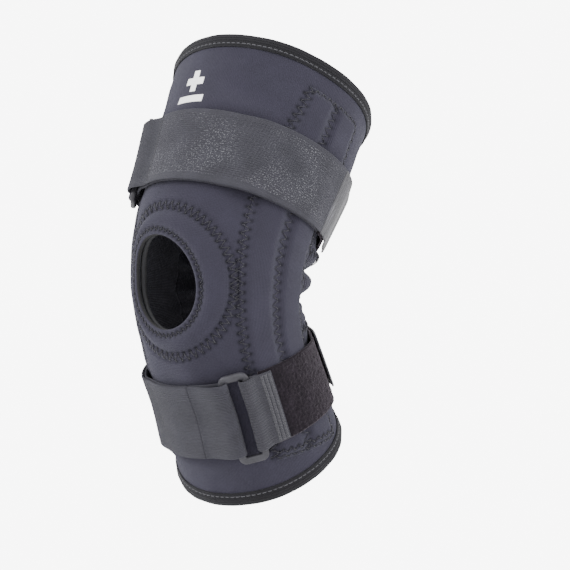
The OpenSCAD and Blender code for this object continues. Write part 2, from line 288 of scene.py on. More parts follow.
def tubes(name, lines, radius, material, sides=6, flat=1.0):
    """Round threads along polylines of points in metres, with closed ends, as one mesh."""
    points, faces, base = [], [], 0
    angle = np.arange(sides) / sides * 2 * math.pi
    for line in lines:
        line = np.asarray(line)
        along = np.gradient(line, axis=0)
        along /= np.linalg.norm(along, axis=1, keepdims=True) + 1e-12
        side = np.cross(along, line_up(line))
        side /= np.linalg.norm(side, axis=1, keepdims=True) + 1e-12
        up = np.cross(side, along)
        ring = (line[:, None] + radius * MM * (np.cos(angle)[None, :, None] * side[:, None]
                + flat * np.sin(angle)[None, :, None] * up[:, None]))
        n = len(line)
        points.append(ring.reshape(-1, 3))
        faces.append(grid_quads(n, sides, True, base))
        tip = along * radius * MM * 0.6
        points.append(np.stack([line[0] - tip[0], line[-1] + tip[-1]]))
        tips = base + n * sides
        for k in range(0, sides, 2):
            faces.append(np.array([[tips, base + (k + 2) % sides, base + k + 1, base + k],
                                   [tips + 1, base + (n - 1) * sides + k, base + (n - 1) * sides + k + 1,
                                    base + (n - 1) * sides + (k + 2) % sides]]))
        base = tips + 2
    return make(name, np.concatenate(points), np.concatenate(faces), [material])


def line_up(line):
    """A steady direction that leads away from the leg's middle line."""
    centre = np.stack([np.zeros(len(line)), np.zeros(len(line)), line[:, 2]], 1)
    centre[:, 1] = np.interp(line[:, 2], [-0.14, -0.04, 0.04, 0.14], [0.058, 0.009, 0.009, 0.062])
    out = line - centre
    return out / (np.linalg.norm(out, axis=1, keepdims=True) + 1e-12)


# ---- materials ----
def node_tree(name):
    m = bpy.data.materials.new(name)
    m.use_nodes = True
    tree = m.node_tree
    return m, tree, tree.nodes["Principled BSDF"]


def add(tree, kind, **values):
    n = tree.nodes.new(kind)
    for key, value in values.items():
        if key in n.inputs:
            n.inputs[key].default_value = value
        else:
            setattr(n, key, value)
    return n


def maths(tree, operation, a, b):
    n = add(tree, "ShaderNodeMath", operation=operation)
    for socket, value in zip(n.inputs, (a, b)):
        if isinstance(value, (int, float)):
            socket.default_value = value
        else:
            tree.links.new(value, socket)
    return n.outputs[0]


def cloth_axes(tree):
    """The cloth's own coordinates in millimetres: along the piece, and across it."""
    a = add(tree, "ShaderNodeAttribute", attribute_name="weave")
    s = add(tree, "ShaderNodeSeparateXYZ")
    tree.links.new(a.outputs["Vector"], s.inputs[0])
    return a.outputs["Vector"], s.outputs[0], s.outputs[1]


def noise_at(tree, vector, scale, detail=3.0, rough=0.6):
    n = add(tree, "ShaderNodeTexNoise", Scale=scale, Detail=detail, Roughness=rough)
    tree.links.new(vector, n.inputs["Vector"])
    return n.outputs["Fac"]


def ramp(tree, fac, stops):
    n = add(tree, "ShaderNodeValToRGB")
    tree.links.new(fac, n.inputs[0])
    while len(n.color_ramp.elements) < len(stops):
        n.color_ramp.elements.new(0.5)
    for e, (position, colour) in zip(n.color_ramp.elements, stops):
        e.position = position
        e.color = (*colour, 1)
    return n.outputs[0]


def with_painted_shade(tree, colour, amount):
    """The colour with painted shade mixed in, darkest in and round the needle-hole dents that the mesh marks."""
    a = add(tree, "ShaderNodeAttribute", attribute_name="painted_shade")
    mix = add(tree, "ShaderNodeMix", data_type="RGBA")
    tree.links.new(maths(tree, "MULTIPLY", a.outputs["Fac"], amount), mix.inputs[0])
    tree.links.new(colour, mix.inputs[6])
    mix.inputs[7].default_value = (0.004, 0.004, 0.006, 1)
    return mix.outputs[2]


def bump(tree, shader, height, distance, strength=1.0):
    b = add(tree, "ShaderNodeBump", Strength=strength, Distance=distance)
    tree.links.new(height, b.inputs["Height"])
    tree.links.new(b.outputs[0], shader.inputs["Normal"])


def finish_cloth(shader, rough, sheen, tint=(1, 1, 1), sheen_rough=0.5, specular=0.14):
    shader.inputs["Roughness"].default_value = rough
    shader.inputs["Sheen Weight"].default_value = sheen
    shader.inputs["Sheen Roughness"].default_value = sheen_rough
    shader.inputs["Sheen Tint"].default_value = (*tint, 1)
    shader.inputs["Specular IOR Level"].default_value = specular


def tones(colour, low, high):
    return [tuple(c * k for c in colour) for k in (low, high)]


def knit(name, colour, gauge=1.0, sheen=0.28, depth=0.00022, mottling=0.16):
    """Fine jersey: columns of V loops, with a heathered yarn."""
    m, tree, shader = node_tree(name)
    vector, along, across = cloth_axes(tree)
    column = maths(tree, "MULTIPLY", along, 2 * math.pi / gauge)
    ribs = maths(tree, "ABSOLUTE", maths(tree, "SINE", maths(tree, "MULTIPLY", column, 0.5), 0), 0)
    row = maths(tree, "ADD", maths(tree, "MULTIPLY", across, 2 * math.pi / (gauge * 0.8)),
                maths(tree, "MULTIPLY", ribs, 2.2))
    loops = maths(tree, "MULTIPLY_ADD", maths(tree, "SINE", row, 0), 0.35)
    height = maths(tree, "ADD", maths(tree, "MULTIPLY", ribs, 0.7), loops)
    yarn = noise_at(tree, vector, 1.9 / gauge, 4, 0.7)
    cloud = noise_at(tree, vector, 0.045, 3, 0.55)
    shade = maths(tree, "ADD", maths(tree, "MULTIPLY", yarn, 0.55), maths(tree, "MULTIPLY", cloud, 0.45))
    low, high = tones(colour, 1 - mottling, 1 + mottling)
    base = ramp(tree, shade, [(0.36, low), (0.64, high)])
    tree.links.new(with_painted_shade(tree, base, 0.85), shader.inputs["Base Color"])
    bump(tree, shader, maths(tree, "ADD", height, maths(tree, "MULTIPLY", yarn, 0.5)), depth)
    finish_cloth(shader, 0.86, sheen, (0.82, 0.84, 1.0))
    return m


def woven(name, colour, rib=1.4, pick=0.7, fleck_and_glint=0.0, rough=0.62, sheen=0.2, selvedge=3.0, width=STRAP_W):
    """Elastic or tape: ribs along its length, picks across it, smooth borders, and pale specks painted into the
    colour that are partly the yarn's own fleck and partly painted glints.
    """
    m, tree, shader = node_tree(name)
    vector, along, across = cloth_axes(tree)
    ribs = maths(tree, "SINE", maths(tree, "MULTIPLY", across, 2 * math.pi / rib), 0)
    phase = maths(tree, "MULTIPLY", maths(tree, "SIGN", ribs, 0), 1.5)
    picks = maths(tree, "SINE", maths(tree, "ADD", maths(tree, "MULTIPLY", along, 2 * math.pi / pick), phase), 0)
    inside = maths(tree, "LESS_THAN", maths(tree, "ABSOLUTE", across, 0), width / 2 - selvedge)
    cells = maths(tree, "MULTIPLY", ribs, maths(tree, "ADD", maths(tree, "MULTIPLY", inside, 0.75), 0.25))
    height = maths(tree, "ADD", cells, maths(tree, "MULTIPLY", picks, 0.45))
    yarn = noise_at(tree, vector, 1.3, 5, 0.75)
    cloud = noise_at(tree, vector, 0.06, 2, 0.5)
    low, high = tones(colour, 0.8, 1.2)
    mixed = maths(tree, "ADD", maths(tree, "MULTIPLY", yarn, 0.5), maths(tree, "MULTIPLY", cloud, 0.5))
    base = ramp(tree, mixed, [(0.36, low), (0.64, high)])
    # pale specks: partly the yarn's own fleck, partly painted glints
    if fleck_and_glint:
        glint = noise_at(tree, vector, 1.15, 2, 0.5)
        spots = ramp(tree, glint, [(0.56, (0, 0, 0)), (0.66, (1, 1, 1))])
        where = noise_at(tree, vector, 0.03, 1, 0.5)
        area = ramp(tree, where, [(0.42, (0.15, 0.15, 0.15)), (0.6, (1, 1, 1))])
        fac = maths(tree, "MULTIPLY", maths(tree, "MULTIPLY", spots, area),
                    maths(tree, "MULTIPLY", inside, fleck_and_glint))
        mix = add(tree, "ShaderNodeMix", data_type="RGBA")
        tree.links.new(fac, mix.inputs[0])
        tree.links.new(base, mix.inputs[6])
        mix.inputs[7].default_value = (0.17, 0.17, 0.185, 1)
        base = mix.outputs[2]
    tree.links.new(with_painted_shade(tree, base, 0.8), shader.inputs["Base Color"])
    bump(tree, shader, maths(tree, "ADD", height, maths(tree, "MULTIPLY", yarn, 1.2)), 0.00022)
    finish_cloth(shader, rough, sheen, (0.9, 0.92, 1.0))
    return m


def brushed_pile(name, colour):
    m, tree, shader = node_tree(name)
    vector, _, _ = cloth_axes(tree)
    tufts = noise_at(tree, vector, 0.75, 6, 0.75)
    patches = noise_at(tree, vector, 0.09, 4, 0.65)
    mixed = maths(tree, "ADD", maths(tree, "MULTIPLY", tufts, 0.6), maths(tree, "MULTIPLY", patches, 0.4))
    base = ramp(tree, mixed, [(0.38, tuple(c * 0.5 for c in colour)), (0.52, colour),
                              (0.68, tuple(min(1, c * 2.1) for c in colour))])
    tree.links.new(base, shader.inputs["Base Color"])
    bump(tree, shader, tufts, 0.0007)
    finish_cloth(shader, 0.95, 0.22, (0.85, 0.75, 0.85), 0.35, 0.08)
    return m


def hook_tape(name, colour):
    """The welded tab: moulded ribs under a smooth film that catches the light, with pale streaks of painted
    highlight along its ripples.
    """
    m, tree, shader = node_tree(name)
    vector, _, across = cloth_axes(tree)
    ripples_and_painted_sheen = add(tree, "ShaderNodeTexNoise", Scale=1.0, Detail=4.0, Roughness=0.6)
    squash = add(tree, "ShaderNodeMapping")
    squash.inputs["Scale"].default_value = (0.55, 0.05, 1)
    tree.links.new(vector, squash.inputs["Vector"])
    tree.links.new(squash.outputs[0], ripples_and_painted_sheen.inputs["Vector"])
    grain = noise_at(tree, vector, 2.2, 3, 0.6)
    # the top tone, 3.6 times the base, is painted highlight along the ripples
    low, mid, high = (tuple(c * k for c in colour) for k in (0.7, 1.0, 3.6))
    base = ramp(tree, ripples_and_painted_sheen.outputs["Fac"], [(0.38, low), (0.56, mid), (0.68, high)])
    tree.links.new(with_painted_shade(tree, base, 0.8), shader.inputs["Base Color"])
    ribs = maths(tree, "SINE", maths(tree, "MULTIPLY", across, 2 * math.pi / 1.1), 0)
    height = maths(tree, "ADD", maths(tree, "MULTIPLY", ribs, 0.5),
                   maths(tree, "ADD", maths(tree, "MULTIPLY", ripples_and_painted_sheen.outputs["Fac"], 4), grain))
    bump(tree, shader, height, 0.00025)
    finish_cloth(shader, 0.38, 0.08, (1, 1, 1), 0.4, 0.4)
    return m


def moulded(name, colour, rough=0.42, grain=9.0, coat=0.0):
    """Moulded plastic with a spark-eroded grain, worn a little paler and smoother in patches."""
    m, tree, shader = node_tree(name)
    shader.inputs["Specular IOR Level"].default_value = 0.3
    where = add(tree, "ShaderNodeTexCoord").outputs["Object"]
    fine = noise_at(tree, where, grain * 450, 3, 0.6)
    wear = noise_at(tree, where, 70, 4, 0.65)
    low, high = tones(colour, 0.82, 1.25)
    tree.links.new(ramp(tree, wear, [(0.4, low), (0.65, high)]), shader.inputs["Base Color"])
    worn = ramp(tree, wear, [(0.35, (rough + 0.08,) * 3), (0.7, (rough - 0.08,) * 3)])
    tree.links.new(worn, shader.inputs["Roughness"])
    shader.inputs["Coat Weight"].default_value = coat
    bump(tree, shader, fine, 0.00006)
    return m


def rubber_foam(name, colour):
    m, tree, shader = node_tree(name)
    where = add(tree, "ShaderNodeTexCoord").outputs["Object"]
    cells = add(tree, "ShaderNodeTexVoronoi", Scale=2600.0)
    tree.links.new(where, cells.inputs["Vector"])
    low, high = tones(colour, 0.6, 1.4)
    tree.links.new(ramp(tree, cells.outputs["Distance"], [(0.0, low), (0.6, high)]), shader.inputs["Base Color"])
    bump(tree, shader, cells.outputs["Distance"], 0.0002)
    shader.inputs["Roughness"].default_value = 0.9
    return m


def steel(name):
    m, tree, shader = node_tree(name)
    where = add(tree, "ShaderNodeTexCoord").outputs["Object"]
    scuff = noise_at(tree, where, 900, 4, 0.6)
    tree.links.new(ramp(tree, scuff, [(0.3, (0.42, 0.43, 0.45)), (0.7, (0.66, 0.67, 0.69))]),
                   shader.inputs["Base Color"])
    tree.links.new(ramp(tree, scuff, [(0.3, (0.42,) * 3), (0.7, (0.24,) * 3)]), shader.inputs["Roughness"])
    shader.inputs["Metallic"].default_value = 1.0
    bump(tree, shader, scuff, 0.00002)
    return m


def spun_thread(name, colour):
    m, tree, shader = node_tree(name)
    where = add(tree, "ShaderNodeTexCoord").outputs["Object"]
    twist_with_painted_glints = add(tree, "ShaderNodeTexWave", Scale=700.0, Distortion=3.0)
    twist_with_painted_glints.bands_direction = "DIAGONAL"
    tree.links.new(where, twist_with_painted_glints.inputs["Vector"])
    low, high = tones(colour, 0.6, 1.5)
    # the light and dark bands along the twist are painted glints and painted shade; the same bands drive the bump
    tree.links.new(ramp(tree, twist_with_painted_glints.outputs["Fac"], [(0.2, low), (0.8, high)]), shader.inputs["Base Color"])
    bump(tree, shader, twist_with_painted_glints.outputs["Fac"], 0.00012)
    finish_cloth(shader, 0.6, 0.2)
    return m


def ink(name):
    m, tree, shader = node_tree(name)
    where = add(tree, "ShaderNodeTexCoord").outputs["Object"]
    skips = noise_at(tree, where, 2200, 3, 0.7)
    tree.links.new(ramp(tree, skips, [(0.28, (0.35, 0.35, 0.38)), (0.38, (0.90, 0.90, 0.90))]),
                   shader.inputs["Base Color"])
    bump(tree, shader, skips, 0.0001)
    shader.inputs["Roughness"].default_value = 0.55
    return m


SLATE = (0.0225, 0.0205, 0.0320)
NEOPRENE_CLOTH = knit("neoprene_jersey", SLATE, 1.0, 0.09)
LINING = knit("lining_knit", (0.014, 0.013, 0.017), 1.5, 0.12, 0.0003)
POCKET_CLOTH = knit("pocket_jersey", tuple(c * 0.97 for c in SLATE), 1.0, 0.09)
STRETCH = knit("stretch_knit", (0.0200, 0.0180, 0.0270), 2.0, 0.12, 0.0004)
CUT_EDGE = rubber_foam("cut_neoprene", (0.006, 0.006, 0.0065))
PAD_FOAM = rubber_foam("buttress_foam", (0.015, 0.015, 0.017))
BINDING = woven("binding_tape", (0.0078, 0.0073, 0.0092), 1.6, 1.1, 0, 0.7, 0.06, 0, 40)
ELASTIC = woven("elastic_flecked_glinting", (0.0290, 0.0280, 0.0360), 1.5, 0.8, 0.8, 0.66, 0.07)
ELASTIC_PLAIN = woven("elastic_plain", (0.0280, 0.0270, 0.0350), 1.0, 0.6, 0.06, 0.75, 0.07)
WEBBING = woven("webbing", (0.0265, 0.0255, 0.0320), 1.8, 1.2, 0, 0.6, 0.07, 1.5, 46)
PILE = brushed_pile("brushed_pile", (0.0095, 0.0074, 0.0100))
HOOK = hook_tape("hook_tape", (0.034, 0.033, 0.040))
RING_PLASTIC = moulded("ring_acetal", (0.0280, 0.0270, 0.0330))
CAP_PLASTIC = moulded("dipped_tip", (0.72, 0.72, 0.68), 0.3, 6.0, 0.2)
SPRING_STEEL = steel("spring_steel")
# the seam thread gets about half the cloth's tone as painted shade of the groove it sinks into
SEAM_THREAD_IN_PAINTED_SHADE = spun_thread("sewing_thread_painted_shade", (0.0105, 0.0095, 0.0155))
STRAP_THREAD = spun_thread("strap_thread", (0.040, 0.039, 0.046))
PALE_THREAD = spun_thread("bartack_thread", (0.060, 0.059, 0.068))
PRINT = ink("white_print")

# ---- seams: where the needle goes in ----
needle_holes = []


def resample(u, phi, off, step):
    """Points at even steps along a path on the leg, with the direction across it, in metres."""
    u, phi, off = (np.asarray(v, float) * np.ones(len(u)) for v in (u, phi, off))
    points = leg(u, phi, off)
    run = np.concatenate([[0], np.cumsum(np.linalg.norm(np.diff(points, axis=0), axis=1))]) / MM
    count = max(2, int(round(run[-1] / step)) + 1)
    at = np.linspace(0, run[-1], count)
    u, phi, off = (np.interp(at, run, v) for v in (u, phi, off))
    points = leg(u, phi, off)
    out = leg(u, phi, off + 1) - points
    out /= np.linalg.norm(out, axis=1, keepdims=True)
    along = np.gradient(points, axis=0)
    across = np.cross(out, along)
    across /= np.linalg.norm(across, axis=1, keepdims=True)
    return points, across, out


def zigzag(u, phi, left, right, width, pitch, dip=0.9, lift=0.45):
    """One thread that crosses a seam from side to side; left and right are the cloth's heights there."""
    points, across, out = resample(u, phi, 0, pitch / 2)
    side = np.where(np.arange(len(points)) % 2 == 0, 1.0, -1.0)
    height = np.where(side > 0, left, right)
    corner = points + (across * (side * width / 2)[:, None] + out * height[:, None]) * MM
    needle_holes.extend(corner)
    steps = 6
    line = []
    for k in range(len(corner) - 1):
        for t in np.arange(steps) / steps:
            arch = math.sin(math.pi * t) ** 0.5 * (dip + lift) - dip
            line.append(corner[k] * (1 - t) + corner[k + 1] * t + out[k] * arch * MM)
    line.append(corner[-1] - out[-1] * dip * MM)
    return line


def running_stitch(u, phi, off, pitch, share=0.72, lift=0.22):
    """Separate short stitches along a line."""
    points, _, out = resample(u, phi, off, pitch)
    lines = []
    for k in range(len(points) - 1):
        a, b = points[k], points[k] * (1 - share) + points[k + 1] * share
        lines.append([a * (1 - t) + b * t + out[k] * (math.sin(math.pi * t) ** 0.6 * lift * 2 - lift) * MM
                      for t in (0.0, 0.2, 0.5, 0.8, 1.0)])
    return lines


def surface(u, phi):
    return base_height(u, phi) + pad_height(u, phi)


def pocket_phi(u, q):
    """The pocket narrows towards its top; q is the angle it would have if it did not."""
    narrow = ease((u - 62) / 62)
    front, back = POCKET_SEAMS[0] + 9 * narrow, POCKET_SEAMS[2] - 5 * narrow
    share = (np.abs(q) - POCKET_SEAMS[0]) / (POCKET_SEAMS[2] - POCKET_SEAMS[0])
    return np.sign(q) * (front + share * (back - front))


def pocket_top(q):
    return np.maximum(top_rim(pocket_phi(125.0, q)) - POCKET_MARGIN, 124)


def pocket_bottom(q):
    return np.maximum(-102 - 0.15 * (np.abs(q) - POCKET_SEAMS[0]), bottom_rim(q) + 11)


def pocket_height(u, q):
    """Top face of the stay pocket, rounded down to the sleeve along all four edges."""
    p = np.abs(q)
    from_side = np.minimum(p - (POCKET_SEAMS[0] - 0.4), POCKET_SEAMS[2] + 0.4 - p)
    from_end = np.minimum(pocket_top(q) - u, u - pocket_bottom(q))
    shut = ease((from_end - 1) / 4.5)
    edge = ease(np.minimum(from_side, from_end) / 1.2 + 0.25)
    return base_height(u, pocket_phi(u, q)) + 0.15 + POCKET_T * edge + puff(q) * shut


def at_stitches(values, u, phi, pitch):
    """The values, which follow a seam, at each corner of its zigzag."""
    corners = len(resample(u, phi, 0, pitch / 2)[0])
    return np.interp(np.linspace(0, 1, corners), np.linspace(0, 1, len(values)), values)


def seam_threads():
    """Every zigzag on the sleeve; their needle holes also dent the cloth."""
    seams = {}
    t = np.linspace(0, 2 * math.pi, 400)
    ring = []
    outer_ring = (OPENING_U + SEAM_HALF_U * np.sin(t), SEAM_HALF_PHI * np.cos(t) - 2 * np.sin(t))
    for (u, phi), width, pitch in ((outer_ring, 5.2, 5.0), (opening_edge(t, 2.6, 4.2), 2.2, 4.2)):
        here = at_stitches(surface(u, phi), u, phi, pitch)
        ring.append(zigzag(u, phi, here, here, width, pitch, 0.7, 0.5))
    seams["kneecap_ring_stitching"] = ring
    for side, name in ((1, "outer"), (-1, "inner")):
        rows = []
        for number, seam in enumerate(POCKET_SEAMS):
            q = side * float(seam)
            u = np.linspace(pocket_bottom(q) + 3, pocket_top(q) - 3, 300)
            phi = pocket_phi(u, q)
            v = at_stitches(u, u, phi, 5.8)
            low = surface(v, pocket_phi(v, q)) + 0.1
            high = pocket_height(v, q + side * (1.5, 0, -1.5)[number] + 0 * v)
            left, right = (high, low) if (number == 0) == (side < 0) else (low, high)
            if number == 1:
                left, right = high, high
            rows.append(zigzag(u, phi, left, right, 5.6, 5.8))
        ends = side * np.linspace(POCKET_SEAMS[0], POCKET_SEAMS[2], 120)
        for edge, inset in ((pocket_top, -2.6), (pocket_bottom, 2.6), (pocket_bottom, 6.5)):
            u = edge(ends) + inset
            phi = pocket_phi(u, ends)
            q = at_stitches(ends, u, phi, 5.2)
            here = pocket_height(edge(q) + inset, q)
            rows.append(zigzag(u, phi, here, here, 3.6 if edge is pocket_top else 2.0, 5.2))
        seams[name + "_pocket_stitching"] = rows
    rows = []
    p = np.linspace(107, 253, 160)
    for u in (WINDOW_U[0], WINDOW_U[1]):
        line_u = u + 0 * p
        q = at_stitches(p, line_u, p, 4.4)
        here = base_height(u + 0 * q, q)
        rows.append(zigzag(line_u, p, here, here, 4.6, 4.4))
    seams["popliteal_stitching"] = rows
    return seams


# ---- the neoprene sleeve ----
ROW, LOW_ROWS, HIGH_ROWS = 0.8, 26, 38
MIDDLE_ROWS = np.arange(-95, 100.1, ROW)
RECT_ROWS, RECT_PHI = (73, 171), 56
WINDOW_ROWS = (81, 157)
WINDOW_U = tuple(MIDDLE_ROWS[i] for i in WINDOW_ROWS)
WINDOW_PHI = (108, 252)


def sleeve():
    phi = np.arange(-180, 180, 1.0)
    columns = len(phi)
    rows = []
    for s in np.linspace(0, 1, LOW_ROWS + 1)[:-1]:
        edge = bottom_rim(phi) + 1.2
        rows.append(edge + (MIDDLE_ROWS[0] - edge) * s)
    rows += [np.full(columns, u) for u in MIDDLE_ROWS]
    for s in np.linspace(0, 1, HIGH_ROWS + 1)[1:]:
        rows.append(MIDDLE_ROWS[-1] + (top_rim(phi) - 1.2 - MIDDLE_ROWS[-1]) * s)
    u = np.array(rows)
    p = np.broadcast_to(phi, u.shape)
    quads = grid_quads(len(rows), columns, True)
    i, j = quads[:, 0] // columns, quads[:, 0] % columns
    at = phi[j]
    r = i - LOW_ROWS
    in_rect = (r >= RECT_ROWS[0]) & (r < RECT_ROWS[1]) & (at >= -RECT_PHI) & (at < RECT_PHI)
    turn = at % 360
    in_window = (r >= WINDOW_ROWS[0]) & (r < WINDOW_ROWS[1]) & (turn >= WINDOW_PHI[0]) & (turn < WINDOW_PHI[1])
    quads = quads[~in_rect & ~in_window]
    # the ring-shaped patch between the rectangle and the opening
    low, high = LOW_ROWS + RECT_ROWS[0], LOW_ROWS + RECT_ROWS[1]
    first, last = int(180 - RECT_PHI), int(180 + RECT_PHI)
    loop = [(low, c) for c in range(first, last)] + [(row, last) for row in range(low, high)]
    loop += [(high, c) for c in range(last, first, -1)] + [(row, first) for row in range(high, low, -1)]
    loop = np.array(loop)
    rim = loop[:, 0] * columns + loop[:, 1]
    rim_u, rim_p = u.ravel()[rim], p.ravel()[rim]
    half_u = (rim_u.max() - rim_u.min()) / 2
    t = np.arctan2((rim_u - (rim_u.max() + rim_u.min()) / 2) / half_u, rim_p / RECT_PHI)
    hole_u, hole_p = opening_edge(t)
    rings = 36
    share = np.linspace(1, 0, rings + 1)[1:]
    patch_u = hole_u + (rim_u - hole_u) * share[:, None]
    patch_p = hole_p + (rim_p - hole_p) * share[:, None]
    start = u.size
    n = len(loop)
    ids = np.concatenate([rim[None], start + np.arange(rings * n).reshape(rings, n)])
    k = (np.arange(n) + 1) % n
    ring_quads = np.stack([ids[:-1], ids[:-1][:, k], ids[1:][:, k], ids[1:]], -1).reshape(-1, 4)
    quads = np.concatenate([quads, ring_quads])
    u = np.concatenate([u.ravel(), patch_u.ravel()])
    p = np.concatenate([p.ravel(), patch_p.ravel()])
    quads, u, p = keep_used(quads, u, p)
    height = surface(u, p)
    outer = leg(u, p, height)
    height, painted_shade = dent(outer, height)
    outer = leg(u, p, height)
    edge_roll = 0.9 * bell(from_opening(u, p), 1.0)
    inner = leg(u, p, base_height(u, p) - NEOPRENE + edge_roll)
    weave = np.stack([p * RADIAN * MEAN_RADIUS, u * 1.15, 0 * u], 1)
    piece = cloth("neoprene_sleeve", outer, inner, quads, [NEOPRENE_CLOTH, LINING, CUT_EDGE], weave, painted_shade)
    return soft(piece, ("thigh_sleeve", "calf_sleeve", "knee_front_panel"))


def dent(points, height, depth=0.65, reach=1.15):
    """Heights pulled in round each needle hole, and how much painted shade the cloth gets in and round each dent.
    """
    away = np.array([holes.find(p)[2] for p in points]) / MM
    near = bell(away, reach)
    return height - depth * near, np.clip(near * 1.25 + 0.08 * bell(away, 2.2), 0, 1)


def soft(piece, nodes):
    """Hide the CAD parts that the piece stands for and bake its transform into its mesh; the piece already follows
    the leg.
    """
    if nodes:
        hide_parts(*nodes)
    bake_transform(piece)
    return piece


def patch(name, u, phi, outer, inner, materials, dents=False):
    """A closed cloth from a grid of u and phi with the heights of its two faces."""
    points = leg(u, phi, outer).reshape(-1, 3)
    painted_shade = np.zeros(len(points))
    if dents:
        height, painted_shade = dent(points, np.broadcast_to(outer, u.shape).ravel())
        points = leg(u, phi, height.reshape(u.shape)).reshape(-1, 3)
    weave = np.stack([phi * RADIAN * MEAN_RADIUS, u * 1.15, 0 * u], -1).reshape(-1, 3)
    back = leg(u, phi, inner).reshape(-1, 3)
    return cloth(name, points, back, grid_quads(*u.shape), materials, weave, painted_shade)


def popliteal_panel():
    u, p = np.meshgrid(np.linspace(WINDOW_U[0] + 0.3, WINDOW_U[1] - 0.3, 90),
                       np.linspace(WINDOW_PHI[0] + 0.3, WINDOW_PHI[1] - 0.3, 150), indexing="ij")
    creases = 0.5 * np.sin(u * 0.55 + 1.5 * np.sin(p * 0.06)) * ease((np.abs(centred(p)) - 108) / 16)
    height = base_height(u, p) - 0.3 + creases
    piece = patch("popliteal_stretch_panel", u, p, height, height - 2.6, [STRETCH, LINING, CUT_EDGE], True)
    return soft(piece, ("popliteal_panel",))


def stay_pocket(side, name, node):
    q = np.sort(side * np.linspace(POCKET_SEAMS[0] - 0.4, POCKET_SEAMS[2] + 0.4, 64))
    s = np.linspace(0, 1, 250)[:, None]
    u = pocket_bottom(q) * (1 - s) + pocket_top(q) * s
    q = np.broadcast_to(q, u.shape)
    p = pocket_phi(u, q)
    outer = pocket_height(u, q)
    inner = np.maximum(outer - POCKET_T, base_height(u, p) + 0.05)
    inner = np.minimum(inner, outer - 0.12)
    piece = patch(name, u, p, outer, inner, [POCKET_CLOTH], True)
    return soft(piece, (node,))


def spiral_stay(side, rear, node):
    """Flattened spiral wire, as in a springy corset bone."""
    centre = (POCKET_SEAMS[1] + POCKET_SEAMS[2 if rear else 0]) / 2 * side
    u0, u1, coil = -86, 113, 2.4
    turns = (u1 - u0) / coil
    t = np.linspace(0, turns, int(turns * 14))
    u = u0 + (u1 - u0) * t / turns
    swing = np.cos(2 * math.pi * t)
    phi = pocket_phi(u, float(centre)) + degrees(u, 5.0) * swing
    off = base_height(u, phi) + 1.15 + 0.55 * np.sin(2 * math.pi * t)
    piece = tubes(node + "_spiral", [leg(u, phi, off)], 0.4, SPRING_STEEL, 6)
    return soft(piece, (node,))


def end_caps(name, node, body, u0, u1):
    """Dipped tips over the ends of the four stays."""
    points, faces = [], []
    rows, sides = 15, 20
    a = np.arange(sides) / sides * 2 * math.pi
    for side in (1, -1):
        for rear in (0, 1):
            q = side * (POCKET_SEAMS[1] + POCKET_SEAMS[2 * rear]) / 2
            s = np.linspace(-1, 1, rows)
            plump = np.clip(1 - np.abs(s) ** 6, 0.02, 1) ** 0.5
            u = (u0 + u1) / 2 + (u1 - u0) / 2 * s
            x = 5.6 * plump[:, None] * np.sign(np.cos(a)) * np.abs(np.cos(a)) ** 0.6
            z = 0.95 * plump[:, None] * np.sin(a)
            uu = u[:, None] + 0 * x
            p = pocket_phi(uu, q) + degrees(uu, x)
            faces.append(grid_quads(rows, sides, True, len(points) * rows * sides))
            points.append(leg(uu, p, base_height(uu, p) + 1.15 + z).reshape(-1, 3))
            start = (len(points) - 1) * rows * sides
            for row, flip in ((0, True), (rows - 1, False)):
                ring = start + row * sides + np.arange(sides)
                half = sides // 2
                strip_of = [[ring[k], ring[k + 1], ring[(sides - k - 1)], ring[(sides - k) % sides]]
                            for k in range(half) if k + 1 <= sides - k - 1]
                strip_of = [f for f in strip_of if len(set(f)) == 4]
                faces.append(np.array(strip_of)[:, ::-1] if flip else np.array(strip_of))
    piece = make(name, np.concatenate(points), np.concatenate(faces), [CAP_PLASTIC])
    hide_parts(node)
    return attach(piece, body)


def buttress():
    """The foam ring sewn inside round the kneecap, rounded on its free edges."""
    t = np.linspace(0, 2 * math.pi, 181)[:-1]
    a = np.linspace(0, 2 * math.pi, 41)[:-1]
    edge_u, edge_p = opening_edge(t, 0.8, 1.5)
    outer_u, outer_p = OPENING_U + 30.5 * np.sin(t), 49.0 * np.cos(t)
    across = 0.5 + 0.5 * np.sign(np.cos(a)) * np.abs(np.cos(a)) ** 0.5
    swell = np.sign(np.sin(a)) * np.abs(np.sin(a)) ** 0.6
    u = edge_u[:, None] + (outer_u - edge_u)[:, None] * across[None]
    p = edge_p[:, None] + (outer_p - edge_p)[:, None] * across[None]
    off = base_height(u, p) - NEOPRENE - 0.5 - 1.6 + 1.6 * swell[None]
    off = off + np.where(swell[None] < 0, -0.6 * np.sin(math.pi * across)[None], 0)
    quads = ring_quads(len(t), len(a))
    points = leg(u, p, off).reshape(-1, 3)
    weave = np.stack([p * RADIAN * MEAN_RADIUS, u, off], -1).reshape(-1, 3)
    piece = make("kneecap_buttress_pad", points, quads, [PAD_FOAM], None, weave)
    soft(piece, ("kneecap_buttress",))
    return piece


